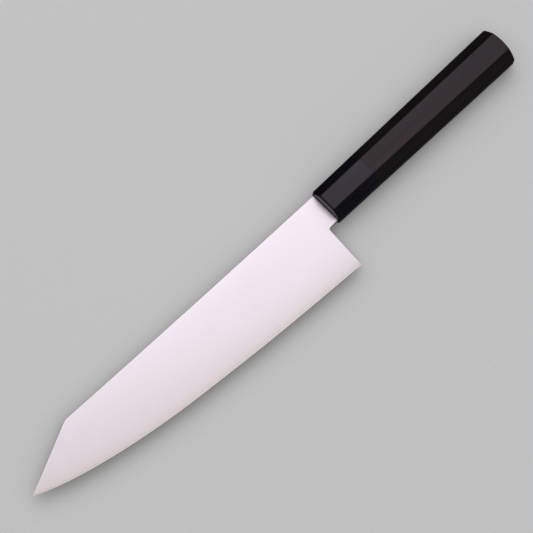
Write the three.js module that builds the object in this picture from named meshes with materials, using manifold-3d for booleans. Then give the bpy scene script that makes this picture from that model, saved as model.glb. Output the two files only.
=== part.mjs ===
// Kitchen knife with a clipped point and an octagonal hidden-tang handle.
// Millimetres, +Z up. The knife lies on its side: +X runs from the point to
// the butt, +Y from the cutting edge to the spine, +Z through the thickness.
// The outline below is drawn in a working frame whose origin is the centre of
// the ferrule's front face; the last lines move it so that the object's origin
// is the middle of the bottom of its bounding box.

import * as THREE from 'three';
import { mergeVertices } from 'three/addons/utils/BufferGeometryUtils.js';
import Module from 'manifold-3d';

const wasm = await Module();
wasm.setup();

// ---------------------------------------------------------------- dimensions
// blade outline
const TIP = [-247.8, -6.85];       // the point
const CLIP = [-203.0, 13.27];      // corner where the clip meets the spine
const SPINE = [4.08e-5, -0.00543, 10.484];   // spine height, quadratic in x
const EDGE = [                     // cutting edge, point to heel
  [-247.8, -6.85], [-240.4, -10.15], [-229.6, -13.98], [-218.2, -17.33],
  [-206.5, -20.25], [-194.4, -22.87], [-182.0, -25.17], [-169.35, -27.25],
  [-156.5, -29.08], [-143.2, -30.65], [-129.6, -31.95], [-116.0, -33.18],
  [-102.3, -34.38], [-88.6, -35.5], [-74.6, -36.5], [-60.3, -37.42],
  [-45.0, -38.3], [-26.9, -39.25], [-8.95, -40.12],
];
const HEEL = [-8.95, -40.12];      // heel corner
const HEEL_LEAN = 0.0443;          // the heel line leans forward, dx per dy
const NOTCH = [-7.66, -12.3];      // where the heel line turns into the neck
// blade section
const SPINE_HALF = [               // half thickness along the spine
  [-247.8, 0.42], [-230, 0.62], [-203, 0.8], [-150, 0.95], [-100, 1.08],
  [-50, 1.18], [-8, 1.25], [0, 1.25],
];
const EDGE_HALF = 0.06;            // half thickness left at the cutting edge
const GRIND = 0.6;                 // exponent of the convex grind
// neck and tang
const NECK_LOW = [                 // lower edge of the neck, with its fillet
  [-7.43, -11.62], [-6.95, -11.2], [-6.1, -11.05], [-3.6, -10.92], [-0.3, -10.75],
];
const NECK_TOP_X = [-6.4, -5.6, -4.6, -2.8, -0.3];
const SHOULDER_X = -0.3;           // shoulders stop just short of the ferrule
const NECK_HALF = 1.2;             // half thickness at the shoulders
const TANG_END = 105;
const TANG_HALF_H = [4.5, 2.5];    // half height at x = 0 and at TANG_END
const TANG_HALF_T = [1.2, 0.8];    // half thickness at the same places
// handle, an octagon that widens towards the butt at constant thickness
const HANDLE_LEN = 152;            // to the crown of the butt
const HANDLE_T = 20;
const HANDLE_W = [23.5, 26.5];     // overall width, front and butt
const FACET_W = [11.35, 13.45];    // width of the top and bottom facets
const FERRULE_END = 34.25;
const JOINT_GAP = 0.3;
const FRONT_CHAMFER = 0.8;
const BUTT_CHAMFER = 0.8;
const BUTT_CROWN_R = 42;           // radius of the crowned butt
// inside
const DOWEL_R = 7;
const DOWEL_CLEAR = 0.3;
const DOWEL_FRONT = 6.3;
const DOWEL_END = 62.4;
const FERRULE_WALL = 6.0;          // solid front wall of the ferrule
const BORE_END = 62.7;
const SLOT_END = 112;
const GLUE_IN = 0.3;               // adhesive starts this far from the tang
const GLUE_OUT = 0.8;              // and ends here
const SLOT_OUT = 1.1;              // the slots in horn and wood
const GLUE_END = 109;

// ------------------------------------------------------------------- helpers
const lerp = (a, b, t) => a + (b - a) * t;
const smooth = (a, b, x) => {
  const t = Math.min(1, Math.max(0, (x - a) / (b - a)));
  return t * t * (3 - 2 * t);
};
function table(rows, x) {
  if (x <= rows[0][0]) return rows[0][1];
  for (let i = 1; i < rows.length; i++) {
    if (x <= rows[i][0]) {
      return lerp(rows[i - 1][1], rows[i][1], (x - rows[i - 1][0]) / (rows[i][0] - rows[i - 1][0]));
    }
  }
  return rows[rows.length - 1][1];
}

function solid(geometry) {
  const g = geometry.clone();
  g.deleteAttribute('normal');
  g.deleteAttribute('uv');
  const m = mergeVertices(g, 1e-5);
  return new wasm.Manifold(new wasm.Mesh({
    numProp: 3,
    vertProperties: new Float32Array(m.attributes.position.array),
    triVerts: new Uint32Array(m.index.array),
  }));
}

function geometry(manifold) {
  const m = manifold.getMesh();
  const g = new THREE.BufferGeometry();
  g.setAttribute('position', new THREE.BufferAttribute(new Float32Array(m.vertProperties), 3));
  g.setIndex(new THREE.BufferAttribute(new Uint32Array(m.triVerts), 1));
  g.computeVertexNormals();
  return g;
}

function indexed(points, triangles) {
  const g = new THREE.BufferGeometry();
  g.setAttribute('position', new THREE.BufferAttribute(new Float32Array(points.flat()), 3));
  g.setIndex(triangles.flat());
  g.computeVertexNormals();
  return g;
}

// Rings of equal length, joined in order and closed at both ends by a fan.
// Each ring runs anticlockwise as seen from +X; `ends` are the fan centres.
function loft(rings, ends) {
  const n = rings[0].length;
  const pts = rings.flat();
  const tris = [];
  for (let r = 0; r + 1 < rings.length; r++) {
    for (let i = 0; i < n; i++) {
      const a = r * n + i, b = r * n + (i + 1) % n;
      tris.push([a, b, b + n], [a, b + n, a + n]);
    }
  }
  const first = pts.length;
  pts.push(ends[0], ends[1]);
  const last = (rings.length - 1) * n;
  for (let i = 0; i < n; i++) {
    tris.push([first, (i + 1) % n, i]);
    tris.push([first + 1, last + i, last + (i + 1) % n]);
  }
  return indexed(pts, tris);
}

// A tapered rectangular bar along X, half sizes [y, z] at each end.
function bar(x0, x1, half0, half1) {
  const ring = (x, [hy, hz]) => [[x, -hy, -hz], [x, hy, -hz], [x, hy, hz], [x, -hy, hz]];
  return loft([ring(x0, half0), ring(x1, half1)], [[x0, 0, 0], [x1, 0, 0]]);
}

// ------------------------------------------------------- blade, neck and tang
const edgeCurve = new THREE.SplineCurve(EDGE.map(([x, y]) => new THREE.Vector2(x, y)));
const edgePoints = edgeCurve.getPoints(720).map((p) => [p.x, p.y]);
const edgeY = (x) => (x >= HEEL[0] ? HEEL[1] : table(edgePoints, x));
const fullSpineY = (x) => SPINE[0] * x * x + SPINE[1] * x + SPINE[2];
const CLIP_SLOPE = (CLIP[1] - TIP[1]) / (CLIP[0] - TIP[0]);
const backY = (x) => (x < CLIP[0] ? TIP[1] + CLIP_SLOPE * (x - TIP[0]) : fullSpineY(x));

function halfThickness(x, y) {
  const low = edgeY(x);
  const full = fullSpineY(x) - low;
  const d = Math.max(0, y - low);
  const ground = EDGE_HALF + (table(SPINE_HALF, x) - EDGE_HALF) * Math.pow(Math.min(1, d / full), GRIND);
  return lerp(ground, NECK_HALF, smooth(-11, -2, x) * smooth(-16, -10, y));
}

// rows of the plan grid, as fractions of the height above the edge
const notchF = (NOTCH[1] - HEEL[1]) / (fullSpineY(-6.7) - HEEL[1]);
const rowY = (f) => HEEL[1] + f * (fullSpineY(-6.7) - HEEL[1]);
const tangF = [-TANG_HALF_H[0], 0, TANG_HALF_H[0]].map((y) => (y - HEEL[1]) / (fullSpineY(-6.7) - HEEL[1]));
const ROWS = [0, 0.012, 0.04, 0.09, 0.17, 0.29, 0.42, notchF, tangF[0], tangF[1], tangF[2], 1];
const NECK_ROW = 7;

// where the columns meet the cutting edge
const columns = [-244.5, -240.5, -235.5, -229.5, -223, -216, -209.5, CLIP[0]];
for (let x = -196; x < -16; x += 7.2) columns.push(x);
columns.push(-13.5, HEEL[0]);

const plan = [];                   // x, y, half thickness
const faces = [];                  // triangles, anticlockwise from above
const put = (x, y, h) => plan.push([x, y, h ?? halfThickness(x, y)]) - 1;
const tip = put(TIP[0], TIP[1], 0.11);
const grid = columns.map((xe) => {
  const lean = HEEL_LEAN * smooth(-70, HEEL[0], xe);
  const ye = xe === HEEL[0] ? HEEL[1] : edgeY(xe);
  let ys = backY(xe);
  for (let k = 0; k < 6; k++) ys = backY(xe + lean * (ys - ye));
  return ROWS.map((f) => {
    const y = lerp(ye, ys, f);
    return put(xe + lean * (y - ye), y);
  });
});
const quad = (a, b, c, d) => faces.push([a, b, c], [a, c, d]);
for (let j = 0; j + 1 < ROWS.length; j++) faces.push([tip, grid[0][j], grid[0][j + 1]]);
for (let i = 0; i + 1 < grid.length; i++) {
  for (let j = 0; j + 1 < ROWS.length; j++) {
    quad(grid[i][j], grid[i + 1][j], grid[i + 1][j + 1], grid[i][j + 1]);
  }
}
// the neck takes over the rows above the notch
let previous = grid[grid.length - 1].slice(NECK_ROW);
NECK_LOW.forEach(([xl, yl], i) => {
  const xt = NECK_TOP_X[i];
  const yt = fullSpineY(xt);
  const k = (i + 1) / NECK_LOW.length;
  const ys = [yl, -TANG_HALF_H[0], 0, TANG_HALF_H[0], yt];
  const current = ys.map((y) => {
    const t = (y - yl) / (yt - yl);
    return put(lerp(xl, xt, t), y, i === NECK_LOW.length - 1 ? NECK_HALF : undefined);
  });
  for (let j = 0; j < 4; j++) quad(previous[j], current[j], current[j + 1], previous[j + 1]);
  previous = current;
});
// the tang leaves the shoulders at the middle three rows
previous = previous.slice(1, 4);
for (const x of [3, 20, 40, 60, 80, TANG_END - 2.2, TANG_END - 0.7, TANG_END]) {
  const t = x / TANG_END;
  const nose = Math.max(0, x - (TANG_END - 2.5)) / 2.5;
  const hh = lerp(TANG_HALF_H[0], TANG_HALF_H[1], t) * Math.sqrt(1 - 0.8 * nose * nose);
  const th = lerp(TANG_HALF_T[0], TANG_HALF_T[1], t);
  const current = [put(x, -hh, th), put(x, 0, th), put(x, hh, th)];
  for (let j = 0; j < 2; j++) quad(previous[j], current[j], current[j + 1], previous[j + 1]);
  previous = current;
}

// thicken the plan to a closed body, the same on both sides
function thicken(points, triangles) {
  const n = points.length;
  const pts = [...points.map(([x, y, h]) => [x, y, h]), ...points.map(([x, y, h]) => [x, y, -h])];
  const tris = [];
  const used = new Set();
  for (const [a, b, c] of triangles) {
    tris.push([a, b, c], [a + n, c + n, b + n]);
    used.add(`${a},${b}`); used.add(`${b},${c}`); used.add(`${c},${a}`);
  }
  for (const e of used) {
    const [a, b] = e.split(',').map(Number);
    if (!used.has(`${b},${a}`)) tris.push([a, a + n, b + n], [a, b + n, b]);
  }
  return indexed(pts, tris);
}
const bladeGeometry = thicken(plan, faces);

// -------------------------------------------------------------------- handle
// One octagonal ring at station x, inset by c, with `cut` giving how far the
// end surface falls back at a point. Three segments to each facet.
function octagon(x, c = 0, crown = null) {
  const t = x / HANDLE_LEN;
  const w = lerp(HANDLE_W[0], HANDLE_W[1], t) / 2;
  const f = lerp(FACET_W[0], FACET_W[1], t) / 2;
  const z = HANDLE_T / 2;
  const s = z - (w - f);           // the four slanted facets stand at 45 degrees
  const k = (Math.SQRT2 - 1) * c;
  const corners = [
    [w - c, -(s - k)], [w - c, s - k], [f - k, z - c], [-(f - k), z - c],
    [-(w - c), s - k], [-(w - c), -(s - k)], [-(f - k), -(z - c)], [f - k, -(z - c)],
  ];
  const ring = [];
  corners.forEach((p, i) => {
    const q = corners[(i + 1) % 8];
    for (let j = 0; j < 3; j++) {
      const y = lerp(p[0], q[0], j / 3), zz = lerp(p[1], q[1], j / 3);
      ring.push([crown ? crown(x, y, zz) : x, y, zz]);
    }
  });
  return ring;
}
const crownX = (x, y, z) => x - (y * y + z * z) / (2 * BUTT_CROWN_R);

const slotHalf = (x, out) => {
  const t = x / TANG_END;
  return [lerp(TANG_HALF_H[0], TANG_HALF_H[1], t) + out, lerp(TANG_HALF_T[0], TANG_HALF_T[1], t) + out];
};
const slot = (x0, x1, out) => solid(bar(x0, x1, slotHalf(x0, out), slotHalf(x1, out)));
const rod = (x0, x1, r) => {
  const g = new THREE.CylinderGeometry(r, r, x1 - x0, 48);
  g.rotateZ(-Math.PI / 2);
  g.translate((x0 + x1) / 2, 0, 0);
  return solid(g);
};

const ferruleBlank = loft(
  [octagon(0, FRONT_CHAMFER), octagon(FRONT_CHAMFER, 0), octagon(FERRULE_END, 0)],
  [[0, 0, 0], [FERRULE_END, 0, 0]],
);
const ferruleGeometry = geometry(
  solid(ferruleBlank)
    .subtract(rod(FERRULE_WALL, FERRULE_END + 2, DOWEL_R + DOWEL_CLEAR))
    .subtract(slot(-2, FERRULE_WALL + 1, SLOT_OUT)),
);

const BODY_FRONT = FERRULE_END + JOINT_GAP;
const rimAt = (x, c) => octagon(x, c, crownX);
const bodyBlank = loft(
  [
    octagon(BODY_FRONT, 0),
    rimAt(HANDLE_LEN - BUTT_CHAMFER, 0),
    rimAt(HANDLE_LEN, BUTT_CHAMFER),
    rimAt(HANDLE_LEN, 4),
    rimAt(HANDLE_LEN, 7),
  ],
  [[BODY_FRONT, 0, 0], [HANDLE_LEN, 0, 0]],
);
const bodyGeometry = geometry(
  solid(bodyBlank)
    .subtract(rod(BODY_FRONT - 2, BORE_END, DOWEL_R + DOWEL_CLEAR))
    .subtract(slot(BORE_END - 1, SLOT_END, SLOT_OUT)),
);

const dowelGeometry = geometry(
  rod(DOWEL_FRONT, DOWEL_END, DOWEL_R).subtract(slot(DOWEL_FRONT - 2, DOWEL_END + 2, SLOT_OUT)),
);

const adhesiveGeometry = geometry(
  slot(0, GLUE_END, GLUE_OUT).subtract(slot(-2, TANG_END + GLUE_IN, GLUE_IN)),
);

// ------------------------------------------------------------------ assembly
const steel = new THREE.MeshStandardMaterial({ color: 0xd9d5d8, roughness: 0.3, metalness: 1 });
const horn = new THREE.MeshStandardMaterial({ color: 0x17161b, roughness: 0.32, metalness: 0 });
const ebony = new THREE.MeshStandardMaterial({ color: 0x1b1615, roughness: 0.42, metalness: 0 });
const magnolia = new THREE.MeshStandardMaterial({ color: 0xb9a27a, roughness: 0.75, metalness: 0 });
const epoxy = new THREE.MeshStandardMaterial({ color: 0x1d1a17, roughness: 0.35, metalness: 0 });

const knife = new THREE.Group();
function add(name, shape, material) {
  const mesh = new THREE.Mesh(shape, material);
  mesh.name = name;
  knife.add(mesh);
}
add('blade', bladeGeometry, steel);
add('ferrule', ferruleGeometry, horn);
add('handle_body', bodyGeometry, ebony);
add('handle_dowel', dowelGeometry, magnolia);
add('tang_adhesive', adhesiveGeometry, epoxy);

// origin at the middle of the bottom of the bounding box
const box = new THREE.Box3();
knife.traverse((o) => { if (o.isMesh) { o.geometry.computeBoundingBox(); box.union(o.geometry.boundingBox); } });
knife.position.set(-(box.min.x + box.max.x) / 2, -(box.min.y + box.max.y) / 2, -box.min.z);

const part = new THREE.Group();
part.add(knife);
part.updateMatrixWorld(true);

export default part;
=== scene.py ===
# Kitchen knife with a clipped point and an octagonal hidden-tang handle: the
# finished surfaces and materials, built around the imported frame.
# Shapes are drawn in a working frame in millimetres, whose origin is the
# centre of the ferrule's front face (x to the butt, y to the spine, z through
# the thickness), and are moved to the row frame, in metres, when a mesh is made.
import math

import bmesh
import bpy
import numpy as np
from mathutils import Matrix, Vector


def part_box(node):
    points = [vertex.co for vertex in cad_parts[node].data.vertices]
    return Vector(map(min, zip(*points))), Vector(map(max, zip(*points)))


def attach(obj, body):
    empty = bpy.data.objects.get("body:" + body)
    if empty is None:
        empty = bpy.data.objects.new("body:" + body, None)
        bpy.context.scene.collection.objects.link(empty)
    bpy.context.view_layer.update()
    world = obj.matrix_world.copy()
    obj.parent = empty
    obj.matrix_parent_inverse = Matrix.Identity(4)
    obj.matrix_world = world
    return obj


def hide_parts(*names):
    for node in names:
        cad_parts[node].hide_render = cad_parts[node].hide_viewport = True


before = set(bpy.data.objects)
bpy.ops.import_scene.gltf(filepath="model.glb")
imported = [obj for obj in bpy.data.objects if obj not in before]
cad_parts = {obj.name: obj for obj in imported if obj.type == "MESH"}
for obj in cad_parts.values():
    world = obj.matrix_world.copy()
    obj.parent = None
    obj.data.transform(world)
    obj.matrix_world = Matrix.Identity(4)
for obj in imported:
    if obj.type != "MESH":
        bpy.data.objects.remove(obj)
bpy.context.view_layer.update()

# ---------------------------------------------------------------- dimensions
TIP = (-247.8, -6.85)
CLIP = (-203.0, 13.27)
SPINE = (4.08e-5, -0.00543, 10.484)
EDGE = [
    (-247.8, -6.85), (-240.4, -10.15), (-229.6, -13.98), (-218.2, -17.33),
    (-206.5, -20.25), (-194.4, -22.87), (-182.0, -25.17), (-169.35, -27.25),
    (-156.5, -29.08), (-143.2, -30.65), (-129.6, -31.95), (-116.0, -33.18),
    (-102.3, -34.38), (-88.6, -35.5), (-74.6, -36.5), (-60.3, -37.42),
    (-45.0, -38.3), (-26.9, -39.25), (-8.95, -40.12),
]
HEEL = (-8.95, -40.12)
HEEL_LEAN = 0.0443
SPINE_HALF = [
    (-247.8, 0.38), (-239, 0.55), (-230, 0.645), (-203, 0.8), (-150, 0.95), (-100, 1.08),
    (-50, 1.18), (-8, 1.25), (0, 1.25),
]
EDGE_HALF = 0.06
GRIND = 0.6
BEVEL = 0.72          # width of the honed bevel
BEVEL_TIP = 0.012     # half thickness left at the very edge
ROLL = (8.0, 0.0009)  # how far below the spine the faces start to round off, and how fast
EASE = 0.34           # radius of the eased spine, choil and neck
NECK_FILLET = 1.28
NECK_Y = (-10.75, 0.052)     # lower line of the neck: y at x = -0.3, and slope
SHOULDER_X = -0.3
NECK_HALF = 1.2
TANG_END = 105.0
TANG_HALF_H = (4.5, 2.5)
TANG_HALF_T = (1.2, 0.8)
CLIP_BLEND = 0.7      # softens the corner between clip and spine

HANDLE_LEN = 152.0
HANDLE_T = 20.0
HANDLE_W = (23.5, 26.5)
FACET_W = (11.35, 13.45)
FERRULE_END = 34.25
JOINT_X = 34.4        # where horn and wood meet
FRONT_ROUND = 1.15
BUTT_ROUND = 0.8
BUTT_CROWN_R = 42.0
ARRIS = 0.22          # radius of the handle's eight long edges
DOWEL_R = 7.0
BORE_R = 7.3
DOWEL_FRONT = 6.3
DOWEL_END = 62.4
FERRULE_WALL = 6.0
BORE_END = 62.7
SLOT_END = 112.0
SLOT_OUT = 1.1
GLUE_END = 109.0

# row frame = working frame + OFFSET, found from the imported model
_blade_lo, _blade_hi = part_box("blade")
_body_lo, _body_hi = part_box("handle_body")
OFFSET = np.array([
    _blade_lo.x * 1000 - TIP[0],
    _blade_lo.y * 1000 - HEEL[1],
    (_body_lo.z + _body_hi.z) * 500,
])


# ------------------------------------------------------------------- helpers
def lerp(a, b, t):
    return a + (b - a) * t


def smooth(a, b, x):
    t = np.clip((x - a) / (b - a), 0, 1)
    return t * t * (3 - 2 * t)


def catmull(points, n):
    """Uniform Catmull-Rom through the points, as the frame's outline uses."""
    p = np.array(points, float)
    out = []
    for k in np.linspace(0, len(p) - 1, n):
        i = min(int(k), len(p) - 2)
        w = k - i
        p0, p1, p2 = p[max(i - 1, 0)], p[i], p[i + 1]
        p3 = p[min(i + 2, len(p) - 1)]
        v0, v1 = (p2 - p0) / 2, (p3 - p1) / 2
        out.append((2 * p1 - 2 * p2 + v0 + v1) * w ** 3 + (-3 * p1 + 3 * p2 - 2 * v0 - v1) * w ** 2 + v0 * w + p1)
    return np.array(out)


def hermite(rows):
    """A smooth monotone curve through a table's rows."""
    x, y = np.array(rows, float).T
    h, d = np.diff(x), np.diff(y) / np.diff(x)
    m = np.zeros(len(x))
    m[0], m[-1] = d[0], d[-1]
    for i in range(1, len(x) - 1):
        if d[i - 1] * d[i] > 0:
            w1, w2 = 2 * h[i] + h[i - 1], h[i] + 2 * h[i - 1]
            m[i] = (w1 + w2) / (w1 / d[i - 1] + w2 / d[i])

    def at(q):
        q = np.clip(q, x[0], x[-1])
        i = np.clip(np.searchsorted(x, q) - 1, 0, len(x) - 2)
        t = (q - x[i]) / h[i]
        return ((1 + 2 * t) * (1 - t) ** 2 * y[i] + t * (1 - t) ** 2 * h[i] * m[i]
                + t * t * (3 - 2 * t) * y[i + 1] + t * t * (t - 1) * h[i] * m[i + 1])
    return at


def make(name, points, faces, material, sharp=35.0, creases=(), uv=None, rise=None):
    """A mesh piece from working-frame points, smooth within `sharp` degrees, riding on the knife's one body."""
    co = (np.asarray(points, float) + OFFSET) / 1000
    me = bpy.data.meshes.new(name)
    me.from_pydata([tuple(p) for p in co], [], [tuple(int(i) for i in f) for f in faces])
    me.validate()
    bm = bmesh.new()
    bm.from_mesh(me)
    bmesh.ops.recalc_face_normals(bm, faces=bm.faces)
    crease = {frozenset(c) for c in creases}
    limit = math.radians(sharp)
    for f in bm.faces:
        f.smooth = True
    for e in bm.edges:
        if len(e.link_faces) != 2:
            e.smooth = False
        elif e.calc_face_angle(0.0) > limit:
            e.smooth = False
        elif crease and frozenset((e.verts[0].index, e.verts[1].index)) in crease:
            e.smooth = False
    if bm.calc_volume(signed=True) < 0:
        bmesh.ops.reverse_faces(bm, faces=bm.faces)
    bm.to_mesh(me)
    bm.free()
    if uv is not None:
        layer = me.uv_layers.new(name="Grain")
        idx = np.zeros(len(me.loops), np.int64)
        me.loops.foreach_get("vertex_index", idx)
        flat = (co[idx][:, list(uv)] * 10).astype(np.float32)
        layer.data.foreach_set("uv", flat.ravel())
    if rise is not None:
        me.attributes.new("rise", "FLOAT", "POINT").data.foreach_set("value", np.asarray(rise, np.float32))
    me.materials.append(material)
    ob = bpy.data.objects.new(name, me)
    bpy.context.scene.collection.objects.link(ob)
    weighted = ob.modifiers.new("normals", "WEIGHTED_NORMAL")
    weighted.keep_sharp = True
    weighted.weight = 60
    dg = bpy.context.evaluated_depsgraph_get()
    final = bpy.data.meshes.new_from_object(ob.evaluated_get(dg), preserve_all_data_layers=True, depsgraph=dg)
    ob.modifiers.clear()
    ob.data = final
    bpy.data.meshes.remove(me)
    final.name = name
    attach(ob, "root")
    return ob


# ----------------------------------------------------------------- materials
class Nodes:
    """Short names for the nodes a material needs."""

    def __init__(self, name):
        self.mat = bpy.data.materials.new(name)
        self.mat.use_nodes = True
        self.tree = self.mat.node_tree
        self.tree.nodes.clear()
        self.out = self.add("ShaderNodeOutputMaterial")
        self.bsdf = self.add("ShaderNodeBsdfPrincipled")
        self.link(self.bsdf.outputs[0], self.out.inputs["Surface"])

    def add(self, kind, **props):
        n = self.tree.nodes.new(kind)
        for k, v in props.items():
            setattr(n, k, v)
        return n

    def link(self, a, b):
        self.tree.links.new(a, b)

    def put(self, socket, value):
        if isinstance(value, bpy.types.NodeSocket):
            self.link(value, socket)
        else:
            socket.default_value = value

    def coords(self, scale=(1, 1, 1), turn=(0, 0, 0), shift=(0, 0, 0)):
        """Object coordinates in metres, stretched."""
        c = self.add("ShaderNodeTexCoord")
        m = self.add("ShaderNodeMapping")
        self.link(c.outputs["Object"], m.inputs["Vector"])
        m.inputs["Scale"].default_value = scale
        m.inputs["Rotation"].default_value = turn
        m.inputs["Location"].default_value = shift
        return m.outputs[0]

    def noise(self, vector, scale=1.0, detail=4.0, rough=0.5, warp=0.0):
        n = self.add("ShaderNodeTexNoise")
        self.link(vector, n.inputs["Vector"])
        n.inputs["Scale"].default_value = scale
        n.inputs["Detail"].default_value = detail
        n.inputs["Roughness"].default_value = rough
        n.inputs["Distortion"].default_value = warp
        return n.outputs["Fac"]

    def ramp(self, value, stops, ease="LINEAR"):
        r = self.add("ShaderNodeValToRGB")
        r.color_ramp.interpolation = ease
        el = r.color_ramp.elements
        while len(el) > 1:
            el.remove(el[-1])
        for i, (at, c) in enumerate(stops):
            e = el[0] if i == 0 else el.new(at)
            e.position = at
            e.color = (*c, 1) if len(c) == 3 else c
        self.put(r.inputs["Fac"], value)
        return r.outputs["Color"]

    def remap(self, value, a, b, c, d):
        m = self.add("ShaderNodeMapRange")
        self.put(m.inputs["Value"], value)
        for k, v in zip(("From Min", "From Max", "To Min", "To Max"), (a, b, c, d)):
            m.inputs[k].default_value = v
        return m.outputs["Result"]

    def math(self, op, a, b=0.0):
        m = self.add("ShaderNodeMath", operation=op)
        self.put(m.inputs[0], a)
        self.put(m.inputs[1], b)
        return m.outputs[0]

    def mix(self, fac, a, b, mode="MIX"):
        m = self.add("ShaderNodeMix", data_type="RGBA", blend_type=mode)
        self.put(m.inputs["Factor"], fac)
        self.put(m.inputs[6], a if isinstance(a, bpy.types.NodeSocket) else (*a, 1))
        self.put(m.inputs[7], b if isinstance(b, bpy.types.NodeSocket) else (*b, 1))
        return m.outputs[2]

    def bump(self, height, distance, strength=1.0, normal=None):
        b = self.add("ShaderNodeBump")
        b.inputs["Strength"].default_value = strength
        b.inputs["Distance"].default_value = distance
        self.link(height, b.inputs["Height"])
        if normal is not None:
            self.link(normal, b.inputs["Normal"])
        return b.outputs[0]


def steel():
    n = Nodes("satin_steel")
    # hairlines from the last belt run from spine to edge, leaning a little
    fine = n.noise(n.coords((5200, 55, 55), (0, 0, 0.035)), 1.0, 3.0, 0.6)
    broad = n.noise(n.coords((900, 14, 14), (0, 0, -0.05), (3, 1, 0)), 1.0, 4.0, 0.55)
    cloud = n.noise(n.coords((16, 30, 30), (0, 0, 0), (7, 2, 1)), 1.0, 3.0, 0.5)
    lines = n.math("ADD", n.math("MULTIPLY", fine, 0.8), n.math("MULTIPLY", broad, 0.2))
    # the last millimetres before the edge are thinned on a stone, and the edge's own bevel is put on with a finer one;
    # the stone-thinned zone's warmer tint is a painted reflection of warmer light, and the bevel's paler colour is a
    # painted highlight, while its lower roughness is the real honing
    rise = n.add("ShaderNodeAttribute", attribute_name="rise").outputs["Fac"]
    stoned_and_painted_warmth = n.remap(n.math("ADD", rise, n.remap(cloud, 0.3, 0.7, -1.6, 1.6)), 2.2, 9.0, 1, 0)
    honed_and_painted_highlight = n.remap(rise, 0.70, 0.74, 1, 0)
    # the belt doesn't reach the last millimetres beside the handle, which are rubbed by hand and duller
    along = n.add("ShaderNodeSeparateXYZ")
    n.link(n.coords(), along.inputs[0])
    neck = n.remap(along.outputs[0], (OFFSET[0] - 10.0) / 1000, (OFFSET[0] - 1.0) / 1000, 0, 1)
    face = n.mix(n.remap(lines, 0.35, 0.65, 0, 1), (0.834, 0.797, 0.841), (0.875, 0.837, 0.880))
    # painted reflection: the warmer tint of the stone-thinned zone near the edge stands in for warmer light mirrored
    # there
    painted_warm_reflection = n.mix(n.remap(lines, 0.35, 0.65, 0, 1), (0.837, 0.797, 0.796), (0.877, 0.838, 0.834))
    # painted highlight: the bevel's paler colour stands in for the light the edge catches; its lower roughness is the
    # real honing
    painted_bevel_highlight = n.mix(n.remap(fine, 0.35, 0.65, 0, 1), (0.905, 0.885, 0.890), (0.955, 0.935, 0.935))
    n.put(n.bsdf.inputs["Base Color"], n.mix(honed_and_painted_highlight, n.mix(stoned_and_painted_warmth, face, painted_warm_reflection), painted_bevel_highlight))
    rough = n.math("ADD", n.remap(lines, 0.3, 0.7, 0.29, 0.35), n.remap(cloud, 0.3, 0.7, -0.012, 0.012))
    n.put(n.bsdf.inputs["Roughness"], n.math("ADD", n.math("SUBTRACT", rough, n.math("MULTIPLY", honed_and_painted_highlight, 0.07)), n.math("MULTIPLY", neck, 0.05)))
    n.put(n.bsdf.inputs["Normal"], n.bump(lines, 0.000004, 0.6))
    n.bsdf.inputs["Metallic"].default_value = 1.0
    n.bsdf.inputs["Anisotropic"].default_value = 0.6
    t = n.add("ShaderNodeTangent", direction_type="UV_MAP", uv_map="Grain")
    n.link(t.outputs[0], n.bsdf.inputs["Tangent"])
    return n.mat


def horn():
    n = Nodes("buffalo_horn")
    # layers of horn run along the ferrule, a little wavy
    layers = n.noise(n.coords((60, 520, 520), (0.1, 0.02, 0.03), (1.3, 0.4, 0.2)), 1.0, 5.0, 0.6, 0.6)
    cloud = n.noise(n.coords((55, 120, 120), (0, 0, 0), (2, 5, 1)), 1.0, 3.0, 0.5, 0.4)
    fine = n.noise(n.coords((900, 5200, 5200)), 1.0, 3.0, 0.6)
    veins = n.noise(n.coords((38, 900, 900), (0.12, 0.03, 0.05), (5.1, 2.4, 3.7)), 1.0, 5.0, 0.6, 0.9)
    tone = n.math("MULTIPLY", n.remap(layers, 0.38, 0.72, 0, 1), n.remap(cloud, 0.35, 0.7, 0.25, 1))
    pale = n.math("MULTIPLY", n.remap(veins, 0.56, 0.72, 0, 1), n.remap(cloud, 0.40, 0.62, 0, 1))
    black = n.ramp(tone, [(0, (0.0010, 0.0010, 0.0030)), (0.5, (0.0022, 0.0021, 0.0056)), (1, (0.0135, 0.0118, 0.0190))])
    # a band of the horn is a shade paler towards the joint, beside the handle's middle on the spine's side
    at = n.add("ShaderNodeSeparateXYZ")
    n.link(n.coords(), at.inputs[0])
    shade = n.math("MULTIPLY", n.remap(at.outputs[0], (OFFSET[0] + 6.0) / 1000, (OFFSET[0] + 26.0) / 1000, 0.15, 1),
                   n.math("MULTIPLY", n.remap(at.outputs[1], (OFFSET[1] - 6.0) / 1000, (OFFSET[1] + 4.0) / 1000, 0, 1),
                          n.remap(at.outputs[1], (OFFSET[1] + 4.5) / 1000, (OFFSET[1] + 7.0) / 1000, 1, 0)))
    black = n.mix(shade, black, n.mix(tone, (0.0082, 0.0076, 0.0118), (0.0215, 0.0190, 0.0270)))
    n.put(n.bsdf.inputs["Base Color"], n.mix(pale, black, (0.0330, 0.0285, 0.0330)))
    n.put(n.bsdf.inputs["Roughness"], n.math("ADD", n.math("ADD", n.remap(fine, 0.3, 0.7, 0.265, 0.335), n.remap(layers, 0.35, 0.65, -0.02, 0.02)), n.math("MULTIPLY", tone, 0.05)))
    n.put(n.bsdf.inputs["Normal"], n.bump(fine, 0.000003, 0.5, n.bump(layers, 0.000012, 0.4)))
    n.bsdf.inputs["IOR"].default_value = 1.45
    n.bsdf.inputs["Specular Tint"].default_value = (0.962, 0.882, 1.0, 1.0)
    return n.mat


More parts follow.
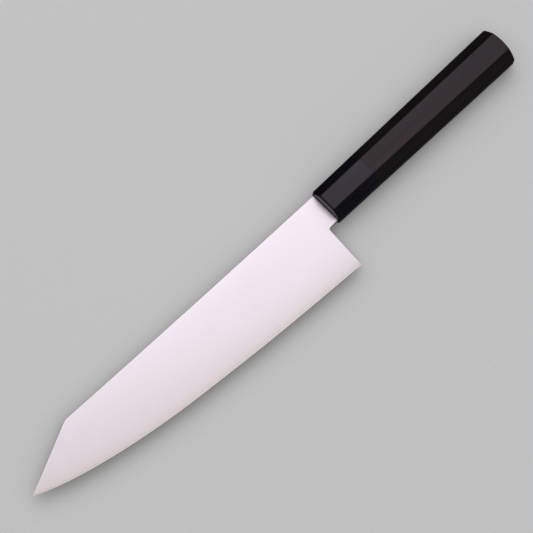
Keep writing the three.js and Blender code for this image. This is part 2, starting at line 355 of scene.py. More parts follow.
def ebony():
    n = Nodes("ebony")
    stripes = n.noise(n.coords((9, 260, 260), (0.15, 0.0, 0.012), (0.7, 0.2, 0.9)), 1.0, 5.0, 0.6, 0.35)
    grain = n.noise(n.coords((55, 2600, 2600), (0.2, 0, 0.01)), 1.0, 4.0, 0.65, 0.15)
    pores = n.noise(n.coords((330, 5200, 5200), (0.3, 0, 0.008), (4, 1, 2)), 1.0, 2.0, 0.5)
    pit = n.remap(pores, 0.60, 0.72, 0, 1)
    tone = n.math("ADD", n.math("MULTIPLY", n.remap(stripes, 0.35, 0.7, 0, 1), 0.65), n.math("MULTIPLY", n.remap(grain, 0.35, 0.65, 0, 1), 0.35))
    wood = n.ramp(tone, [(0, (0.0018, 0.0012, 0.0011)), (0.5, (0.0036, 0.0023, 0.0020)), (0.72, (0.0090, 0.0055, 0.0043)), (1, (0.0300, 0.0180, 0.0130))])
    # the last third, which the hand holds, is rubbed darker and smoother
    along = n.add("ShaderNodeSeparateXYZ")
    n.link(n.coords(), along.inputs[0])
    held = n.remap(along.outputs[0], (OFFSET[0] + 85.0) / 1000, (OFFSET[0] + 150.0) / 1000, 0, 1)
    wood = n.mix(n.math("MULTIPLY", held, 0.45), wood, (0.0012, 0.0008, 0.0008))
    n.put(n.bsdf.inputs["Base Color"], n.mix(pit, wood, (0.0012, 0.0008, 0.0008)))
    rough = n.math("ADD", n.math("ADD", n.remap(grain, 0.3, 0.7, 0.32, 0.45), n.remap(stripes, 0.35, 0.65, -0.055, 0.055)),
                   n.math("SUBTRACT", n.math("MULTIPLY", pit, 0.15), n.math("MULTIPLY", held, 0.02)))
    n.put(n.bsdf.inputs["Roughness"], rough)
    height = n.math("SUBTRACT", n.math("MULTIPLY", grain, 0.5), n.math("MULTIPLY", pit, 0.9))
    n.put(n.bsdf.inputs["Normal"], n.bump(height, 0.000018, 0.6))
    n.bsdf.inputs["IOR"].default_value = 1.47
    n.bsdf.inputs["Specular Tint"].default_value = (1.0, 0.89, 0.97, 1.0)
    return n.mat


def plain_wood():
    n = Nodes("dowel_wood")
    rings = n.noise(n.coords((14, 420, 160), (0.3, 0, 0.01), (2, 1, 0)), 1.0, 4.0, 0.55, 0.5)
    fibre = n.noise(n.coords((70, 3200, 3200)), 1.0, 4.0, 0.65)
    pores = n.remap(n.noise(n.coords((260, 5600, 5600), (0, 0, 0), (3, 3, 1)), 1.0, 2.0, 0.5), 0.6, 0.72, 0, 1)
    tone = n.math("ADD", n.math("MULTIPLY", n.remap(rings, 0.35, 0.68, 0, 1), 0.7), n.math("MULTIPLY", n.remap(fibre, 0.35, 0.65, 0, 1), 0.3))
    wood = n.ramp(tone, [(0, (0.62, 0.47, 0.28)), (0.6, (0.52, 0.37, 0.20)), (1, (0.38, 0.25, 0.125))])
    n.put(n.bsdf.inputs["Base Color"], n.mix(pores, wood, (0.26, 0.16, 0.08)))
    n.put(n.bsdf.inputs["Roughness"], n.remap(fibre, 0.3, 0.7, 0.62, 0.78))
    n.put(n.bsdf.inputs["Normal"], n.bump(n.math("SUBTRACT", fibre, pores), 0.00003, 0.5))
    n.bsdf.inputs["IOR"].default_value = 1.5
    return n.mat


def resin():
    n = Nodes("dark_resin")
    swirl = n.noise(n.coords((160, 420, 420), (0, 0, 0), (1, 2, 0)), 1.0, 4.0, 0.55, 1.2)
    specks = n.remap(n.noise(n.coords((2600, 2600, 2600)), 1.0, 1.0, 0.5), 0.66, 0.74, 0, 1)
    base = n.ramp(n.remap(swirl, 0.35, 0.7, 0, 1), [(0, (0.020, 0.015, 0.012)), (1, (0.034, 0.025, 0.019))])
    n.put(n.bsdf.inputs["Base Color"], n.mix(specks, base, (0.055, 0.043, 0.035)))
    n.put(n.bsdf.inputs["Roughness"], n.math("ADD", n.remap(swirl, 0.3, 0.7, 0.28, 0.4), n.math("MULTIPLY", specks, 0.12)))
    n.put(n.bsdf.inputs["Normal"], n.bump(swirl, 0.00003, 0.5))
    n.bsdf.inputs["IOR"].default_value = 1.55
    return n.mat


STEEL, HORN, EBONY, WOOD, RESIN = steel(), horn(), ebony(), plain_wood(), resin()

# --------------------------------------------------------------------- blade
_edge = catmull(EDGE, 2400)
_spine_half = hermite(SPINE_HALF)
CLIP_SLOPE = (CLIP[1] - TIP[1]) / (CLIP[0] - TIP[0])


def edge_y(x):
    return np.where(np.asarray(x) >= HEEL[0], HEEL[1], np.interp(x, _edge[:, 0], _edge[:, 1]))


def spine_y(x):
    return SPINE[0] * x * x + SPINE[1] * x + SPINE[2]


def back_y(x):
    """Spine and clip, with the corner between them softened."""
    a, b = spine_y(x), TIP[1] + CLIP_SLOPE * (x - TIP[0])
    h = np.clip(1 - np.abs(a - b) / CLIP_BLEND, 0, 1)
    return np.minimum(a, b) - h * h * CLIP_BLEND / 4


def thickness(x, y):
    low = edge_y(x)
    full = spine_y(x) - low
    top = _spine_half(x) - EDGE_HALF
    d = np.maximum(0, y - low)
    ground = EDGE_HALF + top * np.minimum(1, d / full) ** GRIND
    shoulder = EDGE_HALF + top * (BEVEL / full) ** GRIND
    ground = np.where(d < BEVEL, lerp(BEVEL_TIP, shoulder, d / BEVEL), ground)
    ground = ground - ROLL[1] / 2 * np.maximum(0, ROLL[0] - (spine_y(x) - y)) ** 2 * smooth(-232, -196, x)
    return lerp(ground, NECK_HALF, smooth(-11, -2, x) * smooth(-16, -10, y))


# fillet between the heel line and the neck's lower line
def heel_x(y):
    return HEEL[0] + HEEL_LEAN * (y - HEEL[1])


def neck_y(x):
    return NECK_Y[0] + NECK_Y[1] * (x - SHOULDER_X)


_yc = -11.13
for _ in range(8):
    _yc = neck_y(heel_x(_yc))
_corner = np.array([heel_x(_yc), _yc])
_up = np.array([HEEL_LEAN, 1.0]) / math.hypot(HEEL_LEAN, 1)
_on = np.array([1.0, NECK_Y[1]]) / math.hypot(1, NECK_Y[1])
_between = math.acos(float(-_up @ _on))
_reach = NECK_FILLET / math.tan(_between / 2)
_mid = (-_up + _on) / np.linalg.norm(-_up + _on)
_centre = _corner + _mid * NECK_FILLET / math.sin(_between / 2)
_start, _stop = _corner - _up * _reach, _corner + _on * _reach
_a0 = math.atan2(*(_start - _centre)[::-1])
_a1 = math.atan2(*(_stop - _centre)[::-1])
if _a0 < 0:
    _a0 += 2 * math.pi
if _a1 < 0:
    _a1 += 2 * math.pi
NOTCH = _start
_arc = [_centre + NECK_FILLET * np.array([math.cos(a), math.sin(a)]) for a in np.linspace(_a0, _a1, 15)]
_line = [np.array([x, neck_y(x)]) for x in np.linspace(_stop[0], SHOULDER_X, 13)[1:]]
NECK_LOW = _arc + _line
_border = np.array([[HEEL[0], HEEL[1]]] + [[heel_x(y), y] for y in np.linspace(HEEL[1], NOTCH[1], 60)[1:-1]] + [list(p) for p in NECK_LOW] + [[1.0, neck_y(1.0)]])


def border_distance(x, y):
    """Distance from a point of the plan to the spine, clip, heel line or neck edge, whichever is nearest."""
    slope = (back_y(x + 0.05) - back_y(x - 0.05)) / 0.1
    b = (back_y(x) - y) / np.sqrt(1 + slope * slope)
    near = np.where(x > -16)[0]
    if len(near):
        p = np.stack([x[near], y[near]], 1)
        best = np.full(len(near), 1e9)
        for a, c in zip(_border[:-1], _border[1:]):
            ac = c - a
            t = np.clip(((p - a) @ ac) / (ac @ ac), 0, 1)
            best = np.minimum(best, np.linalg.norm(p - a - t[:, None] * ac, axis=1))
        b[near] = np.minimum(b[near], best)
    return np.maximum(b, 0)


def eased(h, b):
    r = np.minimum(EASE, 0.75 * h)
    q = np.clip(r - b, 0, r)
    return h - r + np.sqrt(np.maximum(r * r - q * q, 0))


STEP = [0.0, 0.012, 0.04, 0.085, 0.15, 0.23, 0.34]
FROM_EDGE = [0, 0.2, 0.4, 0.58, 0.70, BEVEL, 0.74, 0.9, 1.2, 1.6, 2.1, 2.8, 3.7, 4.8]
FROM_BACK = [2.6, 1.7, 1.1, 0.75, 0.5] + STEP[::-1]
REF_H = spine_y(heel_x(10.5)) - HEEL[1]
_n = NOTCH[1] - HEEL[1]
_t0, _t1 = -TANG_HALF_H[0] - HEEL[1], TANG_HALF_H[0] - HEEL[1]
LOWER = list(np.linspace(4.8, _n, 15)[1:-1])                     # between the edge rows and the notch
NOTCH_ROWS = [_n + s for s in STEP + [0.5, 0.75, 1.15]]
NECK_FILL = list(np.linspace(_n + 1.15, _t0, 6)[1:-1])
TANG_LOW = [_t0 + s for s in STEP]
TANG_MID = list(np.linspace(_t0 + 0.34, _t1 - 0.34, 9)[1:-1])
TANG_TOP = [_t1 - s for s in STEP[::-1]]
UPPER_FILL = list(np.linspace(_t1, REF_H - 2.6, 5)[1:-1])
MIDDLE = LOWER + NOTCH_ROWS + NECK_FILL + TANG_LOW + TANG_MID + TANG_TOP + UPPER_FILL
ROW_NOTCH = len(FROM_EDGE) + len(LOWER)
ROW_TANG0 = ROW_NOTCH + len(NOTCH_ROWS) + len(NECK_FILL)
ROW_TANG1 = ROW_TANG0 + len(TANG_LOW) + len(TANG_MID) + len(TANG_TOP) - 1
ROWS = len(FROM_EDGE) + len(MIDDLE) + len(FROM_BACK)
ROW_BEVEL = FROM_EDGE.index(BEVEL)


def blade_rows(height):
    """Heights above the cutting edge of the plan grid's rows, in a column this high."""
    s = min(1.0, height / 20.0)
    lo, hi = FROM_EDGE[-1] * s, height - FROM_BACK[0] * s
    ref = (np.array(MIDDLE) - FROM_EDGE[-1]) / (REF_H - FROM_BACK[0] - FROM_EDGE[-1])
    return np.concatenate([np.array(FROM_EDGE) * s, lo + ref * (hi - lo), height - np.array(FROM_BACK) * s])


def neck_rows(low, top):
    """Heights of the rows from the notch up, between the neck's lower edge and the spine."""
    a = [low + (y - _n) for y in NOTCH_ROWS]
    b = [y + HEEL[1] for y in TANG_LOW + TANG_MID + TANG_TOP]
    c = [top - s for s in FROM_BACK]
    f1 = list(np.linspace(a[-1], b[0], len(NECK_FILL) + 2)[1:-1])
    f2 = list(np.linspace(b[-1], c[0], len(UPPER_FILL) + 2)[1:-1])
    return np.array(a + f1 + b + f2 + c)


def build_blade():
    xs = list(TIP[0] + np.array([0.25, 0.6, 1.05, 1.6, 2.25, 3.0]))
    x = xs[-1]
    while x < HEEL[0] - 1.2:
        step = 0.78
        if abs(x - CLIP[0]) < 3.2:
            step = 0.28
        x += step
        xs.append(x)
    xs = [v for v in xs if v < HEEL[0] - 0.8]
    xs += [HEEL[0] - s for s in (0.75, 0.5)] + [HEEL[0] - s for s in STEP[::-1]]
    pts, h = [], []

    def put(x, y):
        pts.append((x, y))
        return len(pts) - 1

    faces, crease = [], []
    tip = put(*TIP)
    cols = []
    for xe in xs:
        lean = HEEL_LEAN * smooth(-70, HEEL[0], xe)
        ye = float(edge_y(xe)) if xe < HEEL[0] else HEEL[1]
        ys = float(back_y(xe))
        for _ in range(8):
            ys = float(back_y(xe + lean * (ys - ye)))
        rows = blade_rows(ys - ye)
        if xe > HEEL[0] - 30:          # near the heel the rows above the notch level out with the neck's
            level = np.concatenate([rows[:ROW_NOTCH], neck_rows(NOTCH[1], ys) - ye])
            rows = lerp(rows, level, smooth(HEEL[0] - 30, HEEL[0] - 1.5, xe))
        cols.append([put(xe + lean * d, ye + d) for d in rows])
    for j in range(ROWS - 1):
        faces.append((tip, cols[0][j], cols[0][j + 1]))
    for a, b in zip(cols[:-1], cols[1:]):
        for j in range(ROWS - 1):
            faces.append((a[j], b[j], b[j + 1], a[j + 1]))
        crease.append((a[ROW_BEVEL], b[ROW_BEVEL]))
    previous = cols[-1][ROW_NOTCH:]
    top0 = pts[previous[-1]][0]
    x0 = NECK_LOW[0][0]
    for k, (xl, yl) in enumerate(NECK_LOW[1:]):
        t = (xl - x0) / (SHOULDER_X - x0)
        t = lerp((k + 1) / (len(NECK_LOW) - 1), t, t)
        xt = lerp(top0, SHOULDER_X, t)
        yt = float(spine_y(xt))
        ys = neck_rows(yl, yt)
        current = [put(lerp(xl, xt, (y - yl) / (yt - yl)), y) for y in ys]
        for j in range(len(ys) - 1):
            faces.append((previous[j], current[j], current[j + 1], previous[j + 1]))
        previous = current
    neck_count = len(pts)
    tang0 = previous[ROW_TANG0 - ROW_NOTCH: ROW_TANG1 - ROW_NOTCH + 1]
    shares = (np.array([y for y in TANG_LOW + TANG_MID + TANG_TOP]) - _t0) / (_t1 - _t0) * 2 - 1
    previous = tang0
    tang_h = {}
    for x in [2, 6, 10, 15, 20, 26, 32, 38, 44, 50, 56, 62, 68, 74, 80, 86, 92, 97, 100.5, 102.5, 103.5, 104.2, 104.65, 104.9, TANG_END]:
        t = x / TANG_END
        nose = max(0.0, x - (TANG_END - 2.5)) / 2.5
        hh = lerp(*TANG_HALF_H, t) * math.sqrt(max(0.0, 1 - 0.8 * nose ** 2))
        th = lerp(*TANG_HALF_T, t)
        current = []
        for s in shares:
            i = put(x, s * hh)
            b = min((1 - abs(s)) * TANG_HALF_H[0], TANG_END - x)
            r = min(0.3, 0.6 * th)
            q = max(0.0, r - b)
            tang_h[i] = th - r + math.sqrt(max(0.0, r * r - q * q))
            current.append(i)
        for j in range(len(current) - 1):
            faces.append((previous[j], current[j], current[j + 1], previous[j + 1]))
        previous = current
    plan = np.array(pts, float)
    x, y = plan[:neck_count, 0], plan[:neck_count, 1]
    z = np.zeros(len(plan))
    z[:neck_count] = eased(thickness(x, y), border_distance(x, y))
    # the cutting edge itself isn't eased, and the point is ground thin
    bottom = [tip] + [c[0] for c in cols]
    z[bottom] = BEVEL_TIP
    for i, v in tang_h.items():
        z[i] = v
    # where the tang leaves the shoulders its own edges are full
    n = len(plan)
    top = np.column_stack([plan, z])
    low = np.column_stack([plan, -z])
    allf = [tuple(f) for f in faces] + [tuple(i + n for i in reversed(f)) for f in faces]
    used = set()
    for f in faces:
        for a, b in zip(f, f[1:] + f[:1]):
            used.add((a, b))
    for a, b in used:
        if (b, a) not in used:
            allf.append((b, a, a + n, b + n))
    crease += [(a + n, b + n) for a, b in crease]
    rise = np.full(len(plan), 40.0)
    rise[:neck_count] = np.clip(y - edge_y(x), 0, 40)
    ob = make("knife_blade", np.vstack([top, low]), allf, STEEL, sharp=40, creases=crease, uv=(0, 1), rise=np.tile(rise, 2))
    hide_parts("blade")
    return ob


# -------------------------------------------------------------------- handle
ARC_STEPS = 4
FLAT_STEPS = 6


def octagon(x, c=0.0, crown=False, arris=ARRIS):
    """One octagonal ring with softened corners at station x, inset by c, and the x of each point."""
    t = x / HANDLE_LEN
    w, f = lerp(*HANDLE_W, t) / 2, lerp(*FACET_W, t) / 2
    z = HANDLE_T / 2
    s = z - (w - f)
    k = (math.sqrt(2) - 1) * c
    corners = [
        (w - c, -(s - k)), (w - c, s - k), (f - k, z - c), (-(f - k), z - c),
        (-(w - c), s - k), (-(w - c), -(s - k)), (-(f - k), -(z - c)), (f - k, -(z - c)),
    ]
    corners = [np.array(p) for p in corners]
    ring = []
    turn = math.pi / 4
    for i, p in enumerate(corners):
        before, after = corners[i - 1], corners[(i + 1) % 8]
        u, v = (p - before) / np.linalg.norm(p - before), (after - p) / np.linalg.norm(after - p)
        r = min(arris, 0.3 * min(np.linalg.norm(p - before), np.linalg.norm(after - p)) / math.tan(turn / 2))
        reach = r * math.tan(turn / 2)
        a = p - u * reach
        inward = np.array([-u[1], u[0]])
        centre = a + inward * r
        for q in range(ARC_STEPS + 1):
            g = turn * q / ARC_STEPS
            ring.append(centre + (-inward * math.cos(g) + u * math.sin(g)) * r)
        b = p + v * reach
        nxt = after - v * reach
        r2 = min(arris, 0.3 * np.linalg.norm(after - p) / math.tan(turn / 2))
        nxt = after - v * r2 * math.tan(turn / 2)
        for q in range(1, FLAT_STEPS):
            share = q / FLAT_STEPS
            ring.append(lerp(b, nxt, share))
    ring = np.array(ring)
    xs = np.full(len(ring), float(x))
    if crown:
        xs = xs - (ring ** 2).sum(1) / (2 * BUTT_CROWN_R)
    return np.column_stack([xs, ring])


RING = 8 * (ARC_STEPS + 1 + FLAT_STEPS - 1)
_angles = np.arctan2(*octagon(FERRULE_END)[:, [2, 1]].T)


def circle(x, r):
    return np.column_stack([np.full(RING, float(x)), r * np.cos(_angles), r * np.sin(_angles)])


def oblong(x, hy, hz):
    """A rectangular ring with the same number of points, its four corners exact."""
    a = _angles
    c, s = np.cos(a), np.sin(a)
    k = np.minimum(hy / np.maximum(np.abs(c), 1e-9), hz / np.maximum(np.abs(s), 1e-9))
    ring = np.column_stack([np.full(RING, float(x)), k * c, k * s])
    for sy in (1, -1):
        for sz in (1, -1):
            g = math.atan2(sz * hz, sy * hy)
            i = int(np.argmin(np.abs(np.angle(np.exp(1j * (a - g))))))
            ring[i] = (x, sy * hy, sz * hz)
    return ring


def slot_half(x, out):
    t = x / TANG_END
    return lerp(*TANG_HALF_H, t) + out, lerp(*TANG_HALF_T, t) + out


def tube(rings, close_start=None, close_end=None, loop=False):
    """Faces joining rings in order. A closing point fans its end, and loop joins the last ring to the first."""
    n = len(rings[0])
    pts = np.vstack(rings)
    faces = []
    count = len(rings)
    for r in range(count if loop else count - 1):
        s = (r + 1) % count
        for i in range(n):
            j = (i + 1) % n
            faces.append((r * n + i, s * n + i, s * n + j, r * n + j))
    for point, r, flip in ((close_start, 0, True), (close_end, count - 1, False)):
        if point is not None:
            pts = np.vstack([pts, [point]])
            k = len(pts) - 1
            for i in range(n):
                j = (i + 1) % n
                faces.append((k, r * n + j, r * n + i) if flip else (k, r * n + i, r * n + j))
    return pts, faces


def blend_rings(a, b, shares):
    return [lerp(a, b, s) for s in shares]


def rounded_end(x_end, r, direction, steps=6, crown=False, arris=ARRIS):
    """Rings of a quarter-round edge of radius r, from the side surface to the end surface."""
    out = []
    for q in range(steps + 1):
        g = math.pi / 2 * q / steps
        out.append(octagon(x_end - direction * r * (1 - math.sin(g)), r * (1 - math.cos(g)), crown, arris))
    return out


def build_ferrule():
    outer = [octagon(x) for x in np.linspace(FRONT_ROUND + 0.05, JOINT_X - 0.12, 14)]
    front = rounded_end(0.0, FRONT_ROUND, -1, 8)[::-1]        # end surface first
    rear = rounded_end(JOINT_X, 0.07, 1, 3)
    mouth = oblong(0.0, *slot_half(0, SLOT_OUT))
    face = blend_rings(front[0], mouth, np.linspace(0, 1, 7))[1:-1]
    slot = [oblong(x, *slot_half(x, SLOT_OUT)) for x in (0.0, 0.12, 2.0, 4.0, 5.88, FERRULE_WALL)]
    step = blend_rings(oblong(FERRULE_WALL, *slot_half(FERRULE_WALL, SLOT_OUT)), circle(FERRULE_WALL, BORE_R), (0.5,))
    bore = [circle(x, BORE_R) for x in np.linspace(FERRULE_WALL, JOINT_X, 8)]
    back = blend_rings(bore[-1], rear[-1], (0.5,))
    rings = front + outer + rear + back[::-1] + bore[::-1] + step[::-1] + slot[::-1] + face[::-1]
    pts, faces = tube(rings, loop=True)
    ob = make("horn_ferrule", pts, faces, HORN, sharp=32)
    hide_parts("ferrule")
    return ob


def build_body():
    front = rounded_end(JOINT_X, 0.07, -1, 3)[::-1]
    sides = [octagon(x) for x in np.linspace(JOINT_X + 0.12, HANDLE_LEN - 8, 44)]
    # the last rings before the butt lean with its crown
    for k in (6.0, 4.2, 2.8, 1.8, 1.2):
        a, b = octagon(HANDLE_LEN - k), octagon(HANDLE_LEN - k, 0, True)
        sides.append(lerp(a, b, 1 - (k - 1.2) / 6.8))
    rim = rounded_end(HANDLE_LEN, BUTT_ROUND, 1, 6, crown=True)
    cap = [octagon(HANDLE_LEN, c, True) for c in (1.3, 2.1, 3.2, 4.4, 5.6, 6.6)]
    inner = cap[-1]
    cap += [np.column_stack([HANDLE_LEN - (1 - s) ** 2 * (inner[:, 1] ** 2 + inner[:, 2] ** 2) / (2 * BUTT_CROWN_R), inner[:, 1] * (1 - s), inner[:, 2] * (1 - s)]) for s in (0.3, 0.6, 0.85)]
    bore = [circle(x, BORE_R) for x in np.linspace(JOINT_X, BORE_END, 8)]
    annulus = blend_rings(front[0], bore[0], (0.5,))
    step = blend_rings(circle(BORE_END, BORE_R), oblong(BORE_END, *slot_half(BORE_END, SLOT_OUT)), (0.5,))
    slot = [oblong(x, *slot_half(x, SLOT_OUT)) for x in np.linspace(BORE_END, SLOT_END, 12)]
    rings = slot[::-1] + step[::-1] + bore[::-1] + annulus[::-1] + front + sides + rim + cap
    pts, faces = tube(rings, close_start=(SLOT_END, 0, 0), close_end=(HANDLE_LEN, 0, 0))
    ob = make("ebony_handle", pts, faces, EBONY, sharp=32)
    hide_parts("handle_body")
    return ob


def build_dowel():
    r, c = DOWEL_R, 0.5
    sides = [circle(DOWEL_FRONT, r - c), circle(DOWEL_FRONT + 0.15, r - 0.2), circle(DOWEL_FRONT + c, r)]
    sides += [circle(x, r) for x in np.linspace(DOWEL_FRONT + c, DOWEL_END - c, 20)[1:]]
    sides += [circle(DOWEL_END - 0.15, r - 0.2), circle(DOWEL_END, r - c)]
    slot = [oblong(x, *slot_half(x, SLOT_OUT)) for x in np.linspace(DOWEL_FRONT, DOWEL_END, 16)]
    ends = blend_rings(slot[0], sides[0], (0.5,)), blend_rings(sides[-1], slot[-1], (0.5,))
    rings = sides + ends[1] + slot[::-1] + ends[0]
    pts, faces = tube(rings, loop=True)
    ob = make("wood_dowel", pts, faces, WOOD, sharp=32)
    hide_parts("handle_dowel")
    return ob


def build_resin():
    """The cured resin: a thin film between shoulders and ferrule, and the sleeve round the tang."""
    def ring(x, out, nose=False):
        hy, hz = slot_half(x, out)
        return oblong(x, hy, hz)

    half_h = (neck_y(SHOULDER_X), float(spine_y(SHOULDER_X)))
    mid, reach = sum(half_h) / 2, (half_h[1] - half_h[0]) / 2

    def film(x, proud, forward=0.0, rise=0.0):
        """One ring round the neck. The bead of squeezed-out resin is fattest beside the slot, on the spine's side."""
        r = oblong(x, reach + proud, NECK_HALF + proud)
        fat = 0.42 + 0.58 * np.exp(-((r[:, 1] + mid - 1.5) / 4.6) ** 2) + 0.06 * np.sin(r[:, 1] * 2.1 + r[:, 2])
        r[:, 0] -= forward * fat
        r[:, 1] += np.sign(r[:, 1]) * np.minimum(np.abs(r[:, 1]) / reach, 1) ** 6 * rise * fat * 0.5
        r[:, 2] += np.sign(r[:, 2]) * np.minimum(np.abs(r[:, 2]) / NECK_HALF, 1) ** 2 * rise * fat
        r[:, 1] += mid
        return r

    inner = [ring(x, 0.03) for x in np.linspace(-0.28, TANG_END + 0.05, 40)]
    outer = [ring(x, SLOT_OUT - 0.03) for x in np.linspace(0.02, GLUE_END, 40)]
    flange = [film(-0.27, -0.06), film(-0.29, -0.02, 0.20), film(-0.28, 0.03, 0.17, 0.07), film(-0.25, 0.07, 0.12, 0.22),
              film(-0.20, 0.09, 0.08, 0.48), film(-0.12, 0.10, 0.03, 0.70), film(-0.04, 0.11, 0.0, 0.90), film(-0.015, 0.09, 0.0, 0.90), film(-0.012, 0.0)]
    end = ring(GLUE_END, SLOT_OUT - 0.03)
    cap = [lerp(end, np.array([GLUE_END, 0, 0]), s) for s in (0.3, 0.6)]
    cap = [np.column_stack([np.full(RING, GLUE_END + 0.02 * k), c[:, 1], c[:, 2]]) for k, c in enumerate(cap)]
    start = [lerp(inner[0], flange[0], 0.5)]
    rings = inner[::-1] + start + flange + [lerp(flange[-1], outer[0], 0.5)] + outer + cap
    pts, faces = tube(rings, close_start=(TANG_END + 0.05, 0, 0), close_end=(GLUE_END, 0, 0))
    ob = make("tang_resin", pts, faces, RESIN, sharp=35)
    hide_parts("tang_adhesive")
    return ob


build_blade()
build_ferrule()
build_body()
build_dowel()
build_resin()


# --------------------------------------------------------------------- stage
def build_floor():
    bm = bmesh.new()
    bmesh.ops.create_circle(bm, cap_ends=True, cap_tris=True, segments=96, radius=3.41)
    me = bpy.data.meshes.new("floor")
    bm.to_mesh(me)
    bm.free()
    n = Nodes("pale_floor")
    tooth = n.noise(n.coords((420, 420, 420)), 1.0, 3.0, 0.6)
    n.put(n.bsdf.inputs["Base Color"], n.mix(n.remap(tooth, 0.3, 0.7, 0, 1), (0.745, 0.76, 0.75), (0.765, 0.78, 0.77)))
    n.bsdf.inputs["Roughness"].default_value = 0.85
    n.bsdf.inputs["Specular IOR Level"].default_value = 0.2
    n.put(n.bsdf.inputs["Normal"], n.bump(tooth, 0.00003, 0.4))
    me.materials.append(n.mat)
    ob = bpy.data.objects.new("floor", me)
    ob.location = (0, 0, -0.00005)
    ob.visible_glossy = False      # the knife was seen on black: its facets mirror the dim lower half of the studio
    bpy.context.scene.collection.objects.link(ob)
    return ob


build_floor()


def build_backdrop():
    """A pale wall that curves up round the floor, far out. It's for looks only: it casts no shadow and isn't mirrored."""
    profile = [(3.4, 0.0)] + [(3.4 + 1.2 * math.sin(a), 1.2 - 1.2 * math.cos(a)) for a in np.linspace(0, math.pi / 2, 13)[1:]] + [(4.6, 2.2), (4.6, 3.2), (4.6, 4.6)]
    n = 96
    pts = [(r * math.cos(2 * math.pi * i / n), r * math.sin(2 * math.pi * i / n), z) for r, z in profile for i in range(n)]
    faces = [(j * n + i, j * n + (i + 1) % n, (j + 1) * n + (i + 1) % n, (j + 1) * n + i) for j in range(len(profile) - 1) for i in range(n)]
    me = bpy.data.meshes.new("backdrop")
    me.from_pydata(pts, [], faces)
    for f in me.polygons:
        f.use_smooth = True
    g = Nodes("pale_wall")
    tooth = g.noise(g.coords((9, 9, 9)), 1.0, 3.0, 0.5)
    g.put(g.bsdf.inputs["Base Color"], g.mix(g.remap(tooth, 0.3, 0.7, 0, 1), (0.745, 0.76, 0.75), (0.765, 0.78, 0.77)))
    g.bsdf.inputs["Roughness"].default_value = 0.9
    g.bsdf.inputs["Specular IOR Level"].default_value = 0.1
    g.bsdf.inputs["Emission Color"].default_value = (0.96, 1.0, 0.98, 1)
    height = g.add("ShaderNodeSeparateXYZ")
    g.link(g.coords(), height.inputs[0])
    g.put(g.bsdf.inputs["Emission Strength"], g.remap(height.outputs[2], 0.0, 0.9, 0.0, 0.17))
    me.materials.append(g.mat)
    ob = bpy.data.objects.new("backdrop", me)
    ob.visible_glossy = ob.visible_diffuse = ob.visible_shadow = False
    bpy.context.scene.collection.objects.link(ob)
    return ob


build_backdrop()


def area(name, at, towards, size, watts, colour=(1, 1, 1), mirrored=True):
    data = bpy.data.lights.new(name, "AREA")
    data.shape = "RECTANGLE"
    data.size, data.size_y = size
    data.energy = watts
    data.color = colour
    ob = bpy.data.objects.new(name, data)
    ob.location = at
    ob.rotation_mode = "QUATERNION"
    ob.rotation_quaternion = (Vector(towards) - Vector(at)).to_track_quat("-Z", "Y")
    ob.visible_camera = False
    ob.visible_glossy = mirrored
    bpy.context.scene.collection.objects.link(ob)
    return ob


area("softbox_top", (0.45, 0.67, 1.5), (0.0, 0.0, 0.0), (1.1, 1.1), 3.92, (0.985, 0.93, 1.0))
area("ceiling_fill", (-0.4, -0.3, 2.8), (0.0, 0.0, 0.0), (2.6, 2.6), 12.0, (1.0, 0.99, 1.0), False)

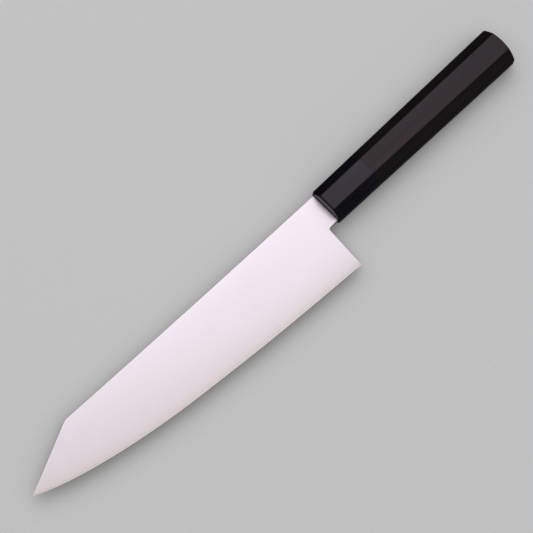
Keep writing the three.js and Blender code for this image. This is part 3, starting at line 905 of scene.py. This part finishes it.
def studio():
    """A dim studio that is brighter overhead, with one dark side towards +Y and a darker one towards -X."""
    world = bpy.data.worlds.new("studio")
    bpy.context.scene.world = world
    world.use_nodes = True
    tree = world.node_tree
    tree.nodes.clear()

    def node(kind, **props):
        n = tree.nodes.new(kind)
        for k, v in props.items():
            setattr(n, k, v)
        return n

    def remap(value, a, b, c, d, smooth=False):
        m = node("ShaderNodeMapRange")
        if smooth:
            m.interpolation_type = "SMOOTHSTEP"
        tree.links.new(value, m.inputs["Value"])
        for k, v in zip(("From Min", "From Max", "To Min", "To Max"), (a, b, c, d)):
            m.inputs[k].default_value = v
        return m.outputs["Result"]

    def calc(op, a, b):
        m = node("ShaderNodeMath", operation=op)
        for socket, v in zip(m.inputs, (a, b)):
            if isinstance(v, bpy.types.NodeSocket):
                tree.links.new(v, socket)
            else:
                socket.default_value = v
        return m.outputs[0]

    def by_height(value, stops):
        r = node("ShaderNodeValToRGB")
        el = r.color_ramp.elements
        while len(el) > 1:
            el.remove(el[-1])
        for i, (z, v) in enumerate(stops):
            e = el[0] if i == 0 else el.new((z + 1) / 2)
            e.position = (z + 1) / 2
            e.color = (v, v, v, 1) if isinstance(v, float) else (*v, 1)
        tree.links.new(value, r.inputs["Fac"])
        return r.outputs["Color"]

    def mix(fac, a, b):
        m = node("ShaderNodeMix", data_type="RGBA")
        tree.links.new(fac, m.inputs["Factor"])
        tree.links.new(a, m.inputs[6])
        tree.links.new(b, m.inputs[7])
        return m.outputs[2]

    parts = node("ShaderNodeSeparateXYZ")
    tree.links.new(node("ShaderNodeTexCoord").outputs["Generated"], parts.inputs[0])
    x, y, z = parts.outputs
    level = remap(z, -1, 1, 0, 1)
    flat = calc("MAXIMUM", calc("SQRT", calc("ADD", calc("MULTIPLY", x, x), calc("MULTIPLY", y, y)), 0.0), 0.05)
    overhead = [(0.86, (0.54, 0.515, 0.535)), (0.93, (0.58, 0.55, 0.56)), (1.0, (0.60, 0.56, 0.54))]
    around = by_height(level, [(-1.0, 0.02), (-0.86, 0.02), (-0.68, 0.24), (-0.38, 0.24), (-0.20, 0.04), (0.0, 0.02), (0.16, 0.04), (0.28, 0.18), (0.42, 0.52), (0.60, 0.52), (0.72, 0.48)] + overhead)
    behind = by_height(level, [(-1.0, 0.02), (-0.86, 0.02), (-0.68, 0.20), (-0.54, 0.16), (-0.38, 0.015), (0.0, 0.006), (0.18, 0.02), (0.32, 0.28), (0.42, 0.58), (0.60, 0.70), (0.74, 0.70)] + overhead)
    front = by_height(level, [(-1.0, 0.02), (-0.86, 0.02), (-0.68, 0.24), (-0.38, 0.24), (-0.20, 0.04), (0.0, 0.02), (0.16, 0.035), (0.28, 0.12), (0.42, 0.46), (0.60, 0.55), (0.80, 0.68), (0.93, (0.82, 0.78, 0.76)), (0.97, (0.74, 0.70, 0.68))] + overhead[2:])
    left = by_height(level, [(-1.0, 0.02), (-0.86, 0.02), (-0.68, 0.22), (-0.38, 0.20), (-0.16, 0.03), (0.0, 0.015), (0.24, 0.08), (0.42, 0.34), (0.60, 0.30), (0.84, 0.28), (0.93, 0.44)] + overhead[2:])
    colour = mix(remap(calc("DIVIDE", calc("MULTIPLY", y, -1.0), flat), 0.2, 0.7, 0, 1, True), around, front)
    colour = mix(remap(calc("DIVIDE", calc("MULTIPLY", x, -1.0), flat), 0.5, 0.9, 0, 1, True), colour, left)
    colour = mix(remap(calc("DIVIDE", y, flat), 0.45, 0.85, 0, 1, True), colour, behind)
    back = node("ShaderNodeBackground")
    tree.links.new(colour, back.inputs["Color"])
    tree.links.new(back.outputs[0], node("ShaderNodeOutputWorld").inputs["Surface"])


studio()

# -------------------------------------------------------------------- camera
cam_data = bpy.data.cameras.new("camera")
cam_data.sensor_width = 36.0
cam_data.lens = 36.0 * 3000.0 / 533.0
cam_data.clip_start, cam_data.clip_end = 0.05, 50
cam = bpy.data.objects.new("camera", cam_data)
right = Vector((0.7147612140804316, -0.698305915812931, 0.038539003450158385))
up = Vector((0.664829632444361, 0.6955330389860072, 0.27246165143518014))
fwd = Vector((0.2170667332185279, 0.16912314927162792, -0.9613945047223242))
half = 0.5 / 3000.0
look = (fwd - right * half + up * half).normalized()
side = (right + look * half)
side = (side - look * side.dot(look)).normalized()
top = side.cross(look)
m = Matrix((side, top, -look)).transposed().to_4x4()
m.translation = (Vector((-441.2034327826872, -305.87807276625796, 1727.179782170022)) + Vector(OFFSET)) / 1000
cam.matrix_world = m
bpy.context.scene.collection.objects.link(cam)
bpy.context.scene.camera = cam
bpy.context.scene.view_settings.view_transform = "Standard"
bpy.context.scene.view_settings.look = "None"
